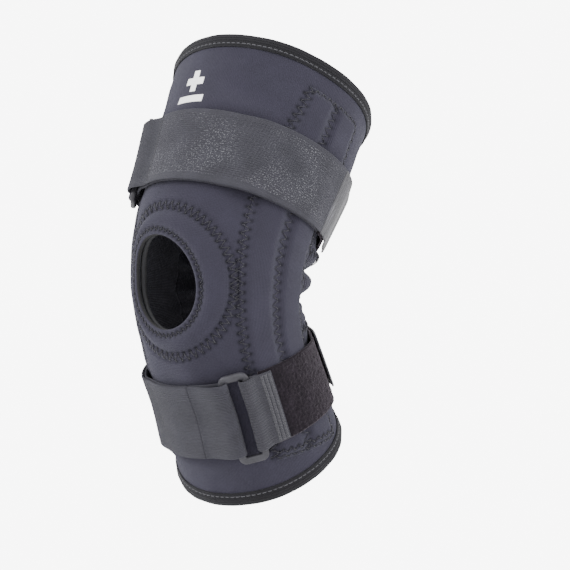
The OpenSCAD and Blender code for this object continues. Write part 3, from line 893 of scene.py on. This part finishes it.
def binding(name, node, edge, way):
    """A tape folded over the rim, with a groove where it is stitched."""
    section = [(-9.0, 0.25), (-8.7, 0.9), (-8.0, 1.15), (-7.2, 1.05), (-6.6, 0.7), (-6.0, 1.05), (-5.0, 1.45),
               (-3.6, 1.75), (-2.2, 1.8), (-1.0, 1.45), (-0.25, 0.6), (0.05, -0.6), (0.1, -2.2), (-0.1, -3.8),
               (-0.7, -4.9), (-1.8, -5.45), (-3.5, -5.5), (-5.5, -5.35), (-7.5, -5.25), (-9.0, -4.9), (-8.8, -4.2),
               (-6.0, -4.2), (-1.5, -4.15), (-1.1, -3.0), (-1.1, -1.0), (-1.5, 0.15), (-6.0, 0.2)]
    section = np.array(section)
    phi = np.arange(0, 360, 1.0)
    du, off = section[:, 0], section[:, 1]
    u = edge(phi)[:, None] + way * du[None]
    p = np.broadcast_to(phi[:, None], u.shape)
    waver = 0.12 * np.sin(p * RADIAN * 11) + 0.08 * np.sin(p * RADIAN * 23 + 1)
    height = off[None] + base_height(u, p) + waver * (off[None] > 0)
    points = leg(u, p, height).reshape(-1, 3)
    quads = ring_quads(*u.shape)
    if way > 0:
        quads = quads[:, ::-1]
    run = np.concatenate([[0], np.cumsum(np.hypot(np.diff(du), np.diff(off)))])
    weave = np.stack([p * RADIAN * 62, np.broadcast_to(run, u.shape), 0 * u], -1).reshape(-1, 3)
    piece = make(name, points, quads, [BINDING], None, weave)
    soft(piece, (node,))
    seam_phi = np.linspace(0, 360, 500)
    seam_u = edge(seam_phi) - way * 6.6
    seam_off = base_height(seam_u, seam_phi) + 0.85
    stitches = tubes(name + "_stitching", running_stitch(seam_u, seam_phi, seam_off, 3.6), 0.3, PALE_THREAD)
    return piece, soft(stitches, ())


# ---- straps ----
def strip(name, phi, off, thick, width, u_at, materials, ribs=0.0, rough_pile=0.0, trim=None, step=0.6):
    """A band of cloth whose middle runs through (phi, off), centred on u_at, extruded across the leg."""
    phi, off = np.asarray(phi, float), np.asarray(off, float)
    u0 = np.asarray(u_at, float) * np.ones(len(phi))
    x = phi * RADIAN * (smooth(u0, 1) + off)
    tangent = np.stack([np.gradient(x), np.gradient(off)], 1)
    tangent /= np.linalg.norm(tangent, axis=1, keepdims=True) + 1e-12
    normal = np.stack([-tangent[:, 1], tangent[:, 0]], 1)
    v = np.linspace(-width / 2, width / 2, max(9, int(width / step)) + 1)
    reach = 0.8
    round_edge = np.sqrt(np.clip(1 - (np.clip(np.abs(v) - (width / 2 - reach), 0, None) / reach) ** 2, 0.04, 1))
    half = thick / 2 * round_edge[None] * np.ones((len(phi), 1))
    inside = ease((width / 2 - 3 - np.abs(v)) / 0.8)[None]
    top = half + ribs * np.cos(2 * math.pi * v / 1.5)[None] * inside
    run = np.concatenate([[0], np.cumsum(np.hypot(np.diff(x), np.diff(off)))])
    if rough_pile:
        tufts = np.array([[noise.fractal(Vector((a * 0.55, b * 0.55, 3.1)), 1.0, 2.1, 3) for b in v]
                          for a in run])
        top = top + rough_pile * tufts * round_edge[None]
    centre_u = u0[:, None] + (v[None] if trim is None else trim(run[:, None] / run[-1], v[None]))
    faces = []
    for sign, h in ((1, top), (-1, half)):
        p = phi[:, None] + sign * h * normal[:, :1] / RADIAN / (smooth(u0, 1) + off)[:, None]
        faces.append(leg(centre_u, p, off[:, None] + sign * h * normal[:, 1:]).reshape(-1, 3))
    weave = np.stack([np.broadcast_to(run[:, None], half.shape), np.broadcast_to(v, half.shape), 0 * half], -1)
    quads = grid_quads(len(phi), len(v))[:, ::-1]
    if tangent[len(tangent) // 2, 0] < 0 and not is_loop(phi):
        quads = quads[:, ::-1]
    return cloth(name, faces[0], faces[1], quads, materials, weave.reshape(-1, 3))


def is_loop(phi):
    return np.ptp(np.sign(np.diff(phi))) > 1


def arc(phi0, phi1, step=1.2):
    return np.linspace(phi0, phi1, max(3, int(abs(phi1 - phi0) / step)))


def around_bar(u, ring_phi, way, far, top_end, bottom_end, bottom_far, drop=23.0):
    """Path of a tape that comes in over a ring's bar, round it through the slot and back below it."""
    radius = RING_BAR / 2 + 0.45 + STRAP_T / 2
    centre_off = RING_LIFT + BAR_X ** 2 / 2 / smooth(u, 1)
    per_mm = 1 / RADIAN / (smooth(u, 1) + centre_off)
    bar = ring_phi + way * BAR_X * per_mm
    phi, off = [], []
    for s in np.linspace(far, 0, 26)[:-1]:
        at = bar + way * s * per_mm
        t = ease(s / drop)
        phi.append(at)
        off.append((centre_off + radius) * (1 - t) + top_end(at) * t)
    for a in np.linspace(90, 270, 19):
        phi.append(bar + way * per_mm * radius * math.cos(a * RADIAN))
        off.append(centre_off + radius * math.sin(a * RADIAN))
    for s in np.linspace(0, bottom_far, 22)[1:]:
        at = bar + way * s * per_mm
        t = ease(s / drop)
        phi.append(at)
        off.append((centre_off - radius) * (1 - t) + bottom_end(at) * t)
    return np.array(phi), np.array(off)


def fold_end(u, ring_phi, way, reach=25.0):
    """Angle at which the fold's own piece joins the strap's runs."""
    per_mm = 1 / RADIAN / (smooth(u, 1) + RING_LIFT)
    return ring_phi + way * (BAR_X + reach) * per_mm


def on_leg(u, phi, off):
    """Place, direction round the leg, direction up it and outward, as the CAD source has them."""
    place = leg(u, phi, off)
    up = leg(u + 2, phi, off) - leg(u - 2, phi, off)
    up /= np.linalg.norm(up)
    out = np.cross(leg(u, phi + 2, off) - leg(u, phi - 2, off), up)
    out /= np.linalg.norm(out)
    return place, np.cross(up, out), up, out


def slot_ring(name, node, body, u, phi):
    """A moulded ring: round bars along the strap's width, flatter ends, rounded corners."""
    place, across, up, out = on_leg(u, phi, RING_LIFT)
    corner = 5.0
    half_w = RING_SLOT / 2 + RING_BAR / 2
    half_l = RING_INNER / 2 + RING_END / 2
    r = corner - 2.2
    path = []
    for cx, cy, a0 in ((half_w - r, half_l - r, 0), (-half_w + r, half_l - r, 90),
                       (-half_w + r, -half_l + r, 180), (half_w - r, -half_l + r, 270)):
        for a in np.linspace(a0, a0 + 90, 9):
            path.append((cx + r * math.cos(a * RADIAN), cy + r * math.sin(a * RADIAN)))
    dense = []
    for k, a in enumerate(path):
        b = path[(k + 1) % len(path)]
        parts = max(1, int(math.dist(a, b) / 1.5))
        dense += [(a[0] + (b[0] - a[0]) * i / parts, a[1] + (b[1] - a[1]) * i / parts) for i in range(parts)]
    line = np.array(dense)
    ahead = np.roll(line, -1, 0) - np.roll(line, 1, 0)
    ahead /= np.linalg.norm(ahead, axis=1, keepdims=True)
    outward = np.stack([ahead[:, 1], -ahead[:, 0]], 1)
    end = ease((np.abs(line[:, 1]) - (RING_INNER / 2 - 2)) / 3)
    wide = RING_BAR / 2 + (RING_END - RING_BAR) / 2 * end
    thick = RING_BAR / 2 + (3.6 - RING_BAR) / 2 * end
    sides = 24
    a = np.arange(sides) / sides * 2 * math.pi
    squareness = 1 - 0.35 * end[:, None]
    cs = np.sign(np.cos(a)) * np.abs(np.cos(a)) ** squareness
    sn = np.sign(np.sin(a)) * np.abs(np.sin(a)) ** squareness
    xy = line[:, None] + outward[:, None] * (wide[:, None] * cs)[..., None]
    z = thick[:, None] * sn
    points = place + (xy[..., :1] * across + xy[..., 1:] * up + z[..., None] * out) * MM
    piece = make(name, points.reshape(-1, 3), ring_quads(len(line), sides)[:, ::-1], [RING_PLASTIC])
    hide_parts(node)
    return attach(piece, body)


def strap_set(prefix, u, ring_phi, way, tab_phi, anchor_phi, elastic):
    """One strap: inner and outer runs, fold over the ring, the ring, pile band and keeper loop; the hook tab is
    not made here.
    """
    outer_mid = lambda phi: lay(phi) + OUTER_LOW + STRAP_T / 2
    inner_mid = lambda phi: lay(phi) + STRAP_T / 2
    pile_mid = lambda phi: lay(phi) + PILE_T / 2
    joint = fold_end(u, ring_phi, way)
    phi = arc(joint, tab_phi)
    run = strip(prefix + "_elastic_outer_run", phi, outer_mid(phi), STRAP_T, STRAP_W, u, [elastic], 0.10,
                step=0.38)
    soft(run, (prefix + "_strap_outer_run",))
    phi = arc(joint, anchor_phi)
    run = strip(prefix + "_elastic_inner_run", phi, inner_mid(phi), STRAP_T - 0.1, STRAP_W, u, [ELASTIC_PLAIN])
    soft(run, (prefix + "_strap_inner_run",))
    phi, off = around_bar(u, ring_phi, way, 25.6, lambda at: outer_mid(at) - 0.06, inner_mid, 25)
    fold = strip(prefix + "_elastic_fold", phi, off, STRAP_T, STRAP_W, u, [ELASTIC_PLAIN], step=0.8)
    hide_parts(prefix + "_strap_fold")
    place, across, _, _ = on_leg(u, ring_phi, RING_LIFT)
    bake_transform(fold)
    slot_ring(prefix + "_slot_ring", prefix + "_ring", prefix + "_ring", u, ring_phi)
    # the keeper: down onto the pile band, whose start it covers
    keeper_top = lambda at: lay(at) + PILE_T + STRAP_T / 2 + 0.1
    keeper_low = lambda at: lay(at) + STRAP_T / 2
    phi, off = around_bar(u, ring_phi, -way, 19, keeper_top, keeper_low, 9.6, 8.0)
    keeper = strip(prefix + "_keeper_webbing", phi, off, STRAP_T - 0.1, STRAP_W - 1, u, [WEBBING], step=0.8)
    soft(keeper, (prefix + "_keeper_loop",))
    per_mm = 1 / RADIAN / (smooth(u, 1) + RING_LIFT)
    start = ring_phi - way * (BAR_X + 10.4) * per_mm
    end = anchor_phi + (2 if way > 0 else -2)
    end = end - 360 if way > 0 else end + 360
    phi = arc(start, end, 0.75)
    pile = strip(prefix + "_pile_fleece", phi, pile_mid(phi), PILE_T - 0.2, STRAP_W + 1, u, [PILE],
                 0, 0.5, step=0.75)
    soft(pile, (prefix + "_pile_band",))
    stitches = []
    for row in range(3):
        at = ring_phi - way * (BAR_X + 11.5 + row * 2.7) * per_mm
        span_u = np.linspace(u - STRAP_W / 2 + 1.5, u + STRAP_W / 2 - 1.5, 90)
        top = lay(at) + PILE_T + STRAP_T + 0.1
        for flip in (0, 1):
            line = zigzag_plain(span_u, at, top, 2.1, 2.2, flip)
            stitches.append(line)
    tack = tubes(prefix + "_keeper_cross_stitching", stitches, 0.21, PALE_THREAD)
    soft(tack, (prefix + "_keeper_bartack",))
    if elastic is ELASTIC_PLAIN:
        return run
    seam = [zigzag_plain(np.linspace(u - STRAP_W / 2 + 1, u + STRAP_W / 2 - 1, 90), joint + way * 0.4,
                         outer_mid(joint) + STRAP_T / 2 - 0.02, 1.3, 2.4, 0)]
    soft(tubes(prefix + "_fold_seam", seam, 0.16, STRAP_THREAD), ())
    return run


def zigzag_plain(u, phi, off, width, pitch, flip):
    """A zigzag on flat webbing, which makes no dents."""
    points, across, out = resample(u, np.full(len(u), float(phi)), off, pitch / 2)
    side = np.where((np.arange(len(points)) + flip) % 2 == 0, 1.0, -1.0)
    corner = points + across * (side * width / 2)[:, None] * MM
    line = []
    for k in range(len(corner) - 1):
        for t in (0.0, 0.25, 0.5, 0.75):
            arch = math.sin(math.pi * t) * 0.4 - 0.15
            line.append(corner[k] * (1 - t) + corner[k + 1] * t + out[k] * arch * MM)
    line.append(corner[-1])
    return line


def hook_tab(prefix, u, tab_phi, way, length, tilt, curl):
    """The strap's end: a stiff tab whose cut end lifts a little from the pile."""
    end = tab_phi + way * (0.5 + float(degrees(u, length)))
    phi = arc(tab_phi + way * 0.4, end, 0.8)
    share = np.linspace(0, 1, len(phi))
    off = lay(phi) + OUTER_LOW + 0.8 + curl * share ** 2.2 + 0.35 * np.sin(share * 9) * share

    def trim(s, v):
        return v * (1 - 0.16 * s ** 3) + tilt * s ** 1.6

    piece = strip(prefix + "_hook_tape_tab", phi, off, 1.4, STRAP_W, u, [HOOK], 0.0, 0.0, trim)
    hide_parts(prefix + "_hook_tab")
    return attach(piece, prefix + "_tab")


def emblem():
    """A plain printed mark: a plus over a short bar."""
    u0, phi0, cell = 110.0, -7.0, 0.5
    x = np.arange(-12, 12.01, cell)
    y = np.arange(-14.5, 12.01, cell)
    gx, gy = np.meshgrid(x, y)
    u = u0 + gy
    phi = phi0 + gx / RADIAN / smooth(u, 1)
    quads = grid_quads(*gx.shape)
    cx = gx.ravel()[quads].mean(1)
    cy = gy.ravel()[quads].mean(1) - 3.5
    plus = ((np.abs(cx) < 2.6) & (np.abs(cy) < 7.6)) | ((np.abs(cy) < 2.6) & (np.abs(cx) < 7.6))
    bar = (np.abs(cx) < 11.2) & (np.abs(cy + 13.0) < 2.6)
    quads, u, phi = keep_used(quads[plus | bar], u, phi)
    height = surface(u, phi)
    weave = np.stack([phi, u, 0 * u], 1)
    piece = cloth("emblem_print", leg(u, phi, height + 0.28), leg(u, phi, height - 0.1), quads, [PRINT], weave)
    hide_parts("thigh_emblem")
    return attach(piece, "thigh")


# ---- camera, light and floor ----
BACKDROP = 8.0


def studio():
    azimuth = 40 * RADIAN
    back = Vector((math.sin(azimuth), -math.cos(azimuth), 0))
    right = Vector((math.cos(azimuth), math.sin(azimuth), 0))
    camera = bpy.data.objects.new("camera", bpy.data.cameras.new("camera"))
    camera.location = back * 1.7
    target = right * 0.041 + Vector((0, 0, 0.00325))
    camera.rotation_euler = (target - camera.location).to_track_quat("-Z", "Y").to_euler()
    camera.data.lens = 165.2
    camera.data.clip_end = 50
    bpy.context.collection.objects.link(camera)
    bpy.context.scene.camera = camera
    world = bpy.data.worlds.new("studio")
    world.use_nodes = True
    sky = world.node_tree.nodes["Background"]
    sky.inputs[0].default_value = (1.0, 1.0, 1.0, 1)
    seen = add(world.node_tree, "ShaderNodeLightPath").outputs["Is Camera Ray"]
    world.node_tree.links.new(maths(world.node_tree, "MULTIPLY_ADD", seen, BACKDROP - 1.5), sky.inputs[1])
    world.node_tree.nodes[-1].inputs[2].default_value = 1.5
    bpy.context.scene.world = world
    for name, place, size, power in (("key", (-0.9, -1.3, 1.3), 1.1, 50), ("side", (1.6, 0.6, 0.7), 0.9, 34),
                                     ("front", (0.9, -1.8, 0.1), 1.2, 14)):
        light = bpy.data.objects.new(name, bpy.data.lights.new(name, "AREA"))
        light.data.size = size
        light.data.energy = power
        light.location = place
        light.rotation_euler = (-Vector(place)).to_track_quat("-Z", "Y").to_euler()
        bpy.context.collection.objects.link(light)
    paper, tree, shader = node_tree("pale_paper")
    shader.inputs["Roughness"].default_value = 0.9
    shader.inputs["Specular IOR Level"].default_value = 0
    shader.inputs["Emission Color"].default_value = (1, 1, 1, 1)
    seen = add(tree, "ShaderNodeLightPath").outputs["Is Camera Ray"]
    tree.links.new(maths(tree, "MULTIPLY", seen, BACKDROP), shader.inputs["Emission Strength"])
    tree.links.new(maths(tree, "MULTIPLY", maths(tree, "SUBTRACT", 1, seen), 0.93), shader.inputs["Base Color"])
    low = cad_box[0][2] - 0.35
    floor = make("floor", np.array([[-12, -12, low], [12, -12, low], [12, 12, low], [-12, 12, low]], float),
                 [[0, 1, 2, 3]], [paper])


studio()
threads = seam_threads()
holes = kdtree.KDTree(len(needle_holes))
for index, point in enumerate(needle_holes):
    holes.insert(point, index)
holes.balance()
main = sleeve()
panel = popliteal_panel()
pockets = [stay_pocket(1, "outer_pocket_cloth", "outer_stay_pocket"),
           stay_pocket(-1, "inner_pocket_cloth", "inner_stay_pocket")]
for name, lines in threads.items():
    soft(tubes(name, lines, 0.29, SEAM_THREAD_IN_PAINTED_SHADE), ())
for side, word in ((1, "outer"), (-1, "inner")):
    for rear, end in ((False, "front"), (True, "rear")):
        spiral_stay(side, rear, word + "_" + end + "_stay")
end_caps("upper_stay_tips", "upper_stay_end_caps", "thigh", 107.5, 118.5)
end_caps("lower_stay_tips", "lower_stay_end_caps", "calf", -91.5, -80.5)
buttress()
binding("top_binding_tape", "top_binding", top_rim, 1)
binding("bottom_binding_tape", "bottom_binding", bottom_rim, -1)
strap_set("thigh", THIGH_U, THIGH_RING, 1, THIGH_TAB, THIGH_TAB, ELASTIC)
strap_set("calf", CALF_U, CALF_RING, -1, CALF_TAB, CALF_ANCHOR, ELASTIC_PLAIN)
hook_tab("thigh", THIGH_U, THIGH_TAB, 1, 35, -4.5, 1.6)
hook_tab("calf", CALF_U, CALF_TAB, -1, 37, 1.5, 0.9)
emblem()
